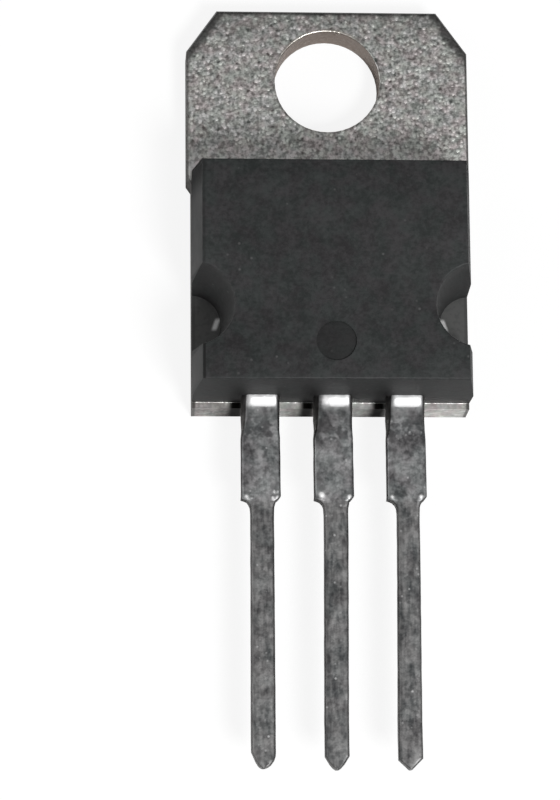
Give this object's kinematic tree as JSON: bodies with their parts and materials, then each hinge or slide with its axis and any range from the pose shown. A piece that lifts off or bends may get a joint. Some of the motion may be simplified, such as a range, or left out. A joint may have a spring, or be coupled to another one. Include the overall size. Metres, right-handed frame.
{
  "type": "power mosfet",
  "caption": "Power transistor in a black moulded body on a plated metal tab with a screw hole, with flat solder-dipped leads for a circuit board.",
  "frame": {"origin": "centre of the mounting hole on the mounting face", "axes": "+Z out of the plastic front along the mounting hole, +Y towards the tab's end with the leads pointing to -Y, +X to the right seen from the front"},
  "size_m": [0.0102, 0.0279, 0.0045],
  "materials": {
    "plated_header": "blasted nickel plate on copper",
    "moulding_compound": "satin moulded epoxy",
    "solder_dipped_lead": "blotchy dipped solder on copper",
    "silicon": "polished",
    "soft_solder": "dull solder",
    "bond_wire": "drawn wire"
  },
  "bodies": {
    "root": {"heat_sink": "plated_header", "epoxy_body": "moulding_compound", "gate_lead": "solder_dipped_lead", "drain_lead": "solder_dipped_lead", "source_lead": "solder_dipped_lead", "silicon_die": "silicon", "die_solder": "soft_solder", "gate_bond_wire": "bond_wire", "source_bond_wire_1": "bond_wire", "source_bond_wire_2": "bond_wire", "source_bond_wire_3": "bond_wire"}
  },
  "joints": []
}
